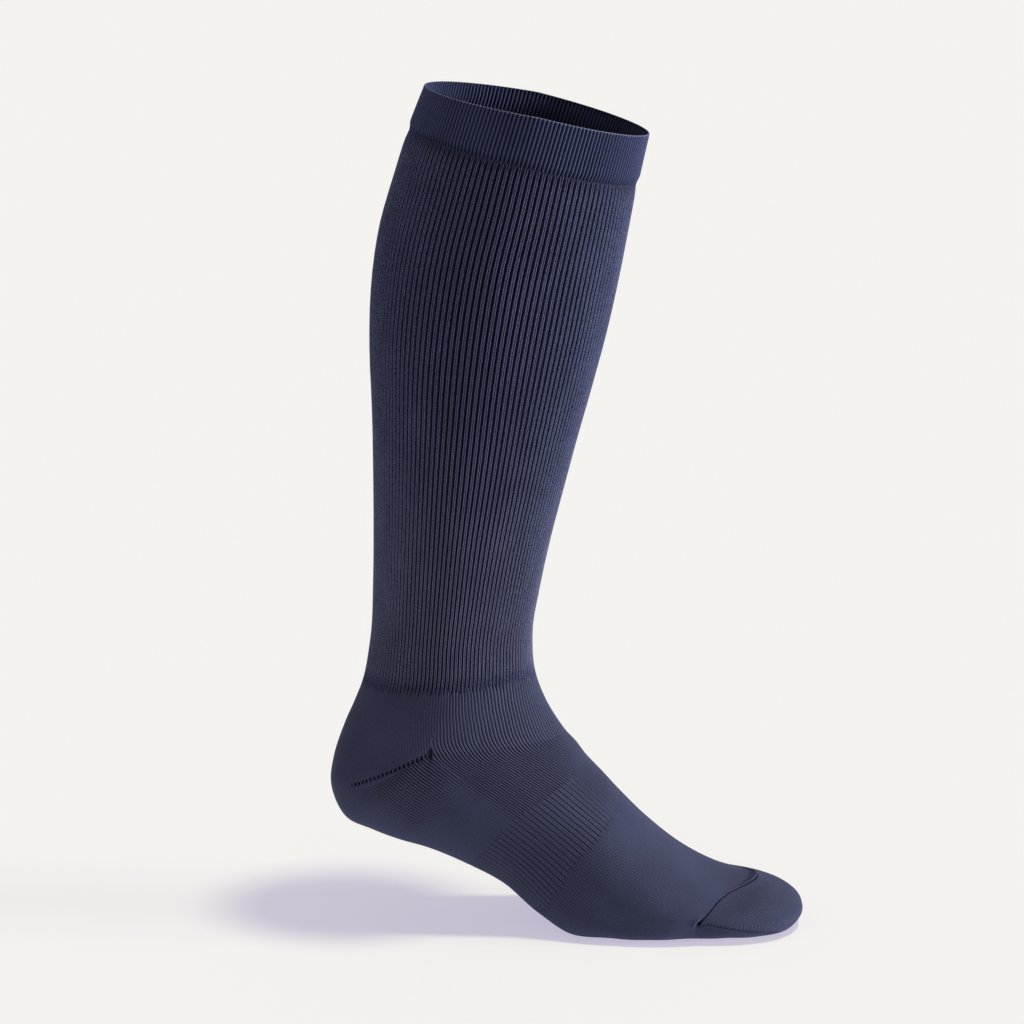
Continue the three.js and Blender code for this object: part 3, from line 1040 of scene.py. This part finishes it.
def lit_acrylic():
    """Frosted opal acrylic with lamps below it: matt, bright by itself, and only lightly shaded."""
    colours = bpy.context.scene.stocking_colours
    material = new_material("frosted_opal_acrylic")
    tree = material.node_tree
    place = add_node(tree, "ShaderNodeTexCoord")
    grain = add_node(
        tree,
        "ShaderNodeTexNoise",
        values={"Scale": 900.0, "Detail": 2.0},
        links={"Vector": place.outputs["Object"]},
    )
    bump = add_node(
        tree,
        "ShaderNodeBump",
        values={"Strength": 0.05, "Distance": 0.05 * MM},
        links={"Height": grain.outputs["Fac"]},
    )
    face = add_node(
        tree,
        "ShaderNodeBsdfPrincipled",
        values={
            "Base Color": colours.floor,
            "Roughness": 0.95,
            "IOR": 1.49,
            "Specular IOR Level": 0.0,
            "Emission Color": colours.glow,
            "Emission Strength": 1.0,
        },
        links={"Normal": bump.outputs["Normal"]},
    )
    add_node(tree, "ShaderNodeOutputMaterial", links={"Surface": face.outputs["BSDF"]})
    return material


# Operators


class KnitOperator:
    """What the operators of the knitted zones share. Each has its node, material, mesh and flat size."""

    bl_options = {"REGISTER", "UNDO"}
    colour = "foot"
    fleck = 0.25

    def execute(self, context):
        if self.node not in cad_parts:
            raise RuntimeError(f"the frame has no node named {self.node}")
        material = bpy.data.materials.get(self.material)
        if material is None:
            colour = getattr(context.scene.stocking_colours, self.colour)
            material = knitted_nylon(self.material, colour, self.fleck)
        dress(self.make_mesh(), self.node, material)
        return {"FINISHED"}


class STOCKING_OT_welt(KnitOperator, bpy.types.Operator):
    """Knit the doubled band at the top, in one by one rib"""

    bl_idname = "stocking.welt"
    bl_label = "Welt"
    node = "welt"
    material = "doubled_one_by_one_rib"
    colour = "welt"
    flat = (0.32, 0.025)
    make_mesh = staticmethod(welt_mesh)


class STOCKING_OT_leg(KnitOperator, bpy.types.Operator):
    """Knit the leg, in two by one rib"""

    bl_idname = "stocking.leg"
    bl_label = "Leg"
    node = "leg"
    material = "two_by_one_rib"
    colour = "leg"
    fleck = 0.8
    flat = (0.29, 0.265)
    make_mesh = staticmethod(leg_mesh)


class STOCKING_OT_ankle(KnitOperator, bpy.types.Operator):
    """Knit the ankle, plain behind and finely ribbed in front"""

    bl_idname = "stocking.ankle"
    bl_label = "Ankle"
    node = "ankle"
    material = "fine_rib"
    flat = (0.235, 0.026)
    make_mesh = staticmethod(ankle_mesh)


class STOCKING_OT_heel(KnitOperator, bpy.types.Operator):
    """Knit the heel pocket, with its line of turning holes"""

    bl_idname = "stocking.heel"
    bl_label = "Heel"
    node = "heel"
    material = "plain_pocket_knit"
    flat = (0.13, 0.06)
    make_mesh = staticmethod(heel_mesh)


class STOCKING_OT_instep(KnitOperator, bpy.types.Operator):
    """Knit the foot from the heel to the arch band"""

    bl_idname = "stocking.instep"
    bl_label = "Instep"
    node = "instep"
    material = "fine_rib"
    flat = (0.235, 0.03)
    make_mesh = staticmethod(instep_mesh)


class STOCKING_OT_arch_band(KnitOperator, bpy.types.Operator):
    """Knit the band of coarser ribs round the arch"""

    bl_idname = "stocking.arch_band"
    bl_label = "Arch band"
    node = "arch_band"
    material = "fine_rib"
    flat = (0.22, 0.034)
    make_mesh = staticmethod(arch_mesh)


class STOCKING_OT_forefoot(KnitOperator, bpy.types.Operator):
    """Knit the tube over the ball of the foot, up to the toe seam"""

    bl_idname = "stocking.forefoot"
    bl_label = "Forefoot"
    node = "forefoot"
    material = "fine_rib"
    flat = (0.235, 0.07)
    make_mesh = staticmethod(forefoot_mesh)


class STOCKING_OT_toe(KnitOperator, bpy.types.Operator):
    """Knit the toe pocket and link it to the foot"""

    bl_idname = "stocking.toe"
    bl_label = "Toe"
    node = "toe"
    material = "plain_pocket_knit"
    flat = (0.12, 0.09)
    make_mesh = staticmethod(toe_mesh)


def aimed(location, target):
    return (Vector(target) - Vector(location)).to_track_quat("-Z", "Y").to_euler()


def add_sun(sun):
    """A distant lamp, as soft at its edges as it looks wide."""
    light = bpy.data.lights.new(sun.name, "SUN")
    light.energy = sun.strength
    light.angle = math.radians(sun.spread)
    light.color = linear(sun.colour)[:3]
    lamp = bpy.data.objects.new(sun.name, light)
    turn, rise = math.radians(sun.azimuth), math.radians(sun.elevation)
    lamp.location = (
        SUN_DISTANCE * math.sin(turn) * math.cos(rise),
        -SUN_DISTANCE * math.cos(turn) * math.cos(rise),
        SUN_DISTANCE * math.sin(rise),
    )
    lamp.rotation_euler = aimed(lamp.location, (0, 0, 0))
    bpy.context.scene.collection.objects.link(lamp)


def add_floor():
    mesh = bpy.data.meshes.new("floor")
    half = FLOOR_SIZE / 2
    corners = [(-half, -half), (half, -half), (half, half), (-half, half)]
    mesh.from_pydata([(x, y, CAD_BOX[0][2]) for x, y in corners], [], [(0, 1, 2, 3)])
    mesh.materials.append(lit_acrylic())
    floor = bpy.data.objects.new("floor", mesh)
    bpy.context.scene.collection.objects.link(floor)


def add_camera(scene):
    """A camera as far away and as high as the photograph's."""
    rise = math.radians(CAMERA_ELEVATION)
    aim = (np.array(CAMERA_AIM) - ORIGIN) * MM
    lens = bpy.data.cameras.new("camera")
    lens.sensor_width = SENSOR_MM
    lens.lens = SENSOR_MM * FOCAL_PIXELS / IMAGE_PIXELS
    lens.clip_end = 100
    camera = bpy.data.objects.new("camera", lens)
    camera.location = aim + (0, -CAMERA_DISTANCE * math.cos(rise), CAMERA_DISTANCE * math.sin(rise))
    camera.rotation_euler = aimed(camera.location, aim)
    scene.collection.objects.link(camera)
    scene.camera = camera


def add_room(scene):
    """The even light of a pale room."""
    world = bpy.data.worlds.new("soft_studio")
    world.use_nodes = True
    background = world.node_tree.nodes["Background"]
    background.inputs["Color"].default_value = linear("#faf8ff")
    background.inputs["Strength"].default_value = ROOM_LIGHT
    scene.world = world


class STOCKING_OT_stage(bpy.types.Operator):
    """Lay the floor and set the lamps and the camera"""

    bl_idname = "stocking.stage"
    bl_label = "Stage"
    bl_options = {"REGISTER", "UNDO"}

    def execute(self, context):
        scene = context.scene
        scene.view_settings.view_transform = "Standard"
        add_floor()
        add_room(scene)
        for sun in SUNS:
            add_sun(sun)
        add_camera(scene)
        return {"FINISHED"}


class STOCKING_PT_panel(bpy.types.Panel):
    """The stocking's sizes, colours and pieces"""

    bl_idname = "STOCKING_PT_panel"
    bl_label = "Compression stocking"
    bl_space_type = "VIEW_3D"
    bl_region_type = "UI"
    bl_category = "Stocking"

    def draw(self, context):
        for group in (context.scene.stocking_sizes, context.scene.stocking_colours):
            for key in group.__annotations__:
                self.layout.prop(group, key)
        for operator in OPERATORS:
            self.layout.operator(operator.bl_idname)


OPERATORS = (
    STOCKING_OT_stage,
    STOCKING_OT_welt,
    STOCKING_OT_leg,
    STOCKING_OT_ankle,
    STOCKING_OT_heel,
    STOCKING_OT_instep,
    STOCKING_OT_arch_band,
    STOCKING_OT_forefoot,
    STOCKING_OT_toe,
)
CLASSES = (KnitSizes, KnitColours, *OPERATORS, STOCKING_PT_panel)


def register():
    for cls in CLASSES:
        bpy.utils.register_class(cls)
    bpy.types.Scene.stocking_sizes = bpy.props.PointerProperty(type=KnitSizes)
    bpy.types.Scene.stocking_colours = bpy.props.PointerProperty(type=KnitColours)


def unregister():
    del bpy.types.Scene.stocking_colours
    del bpy.types.Scene.stocking_sizes
    for cls in reversed(CLASSES):
        bpy.utils.unregister_class(cls)


def main():
    register()
    for operator in OPERATORS:
        group, name = operator.bl_idname.split(".")
        getattr(getattr(bpy.ops, group), name)()


if __name__ == "__main__":
    main()
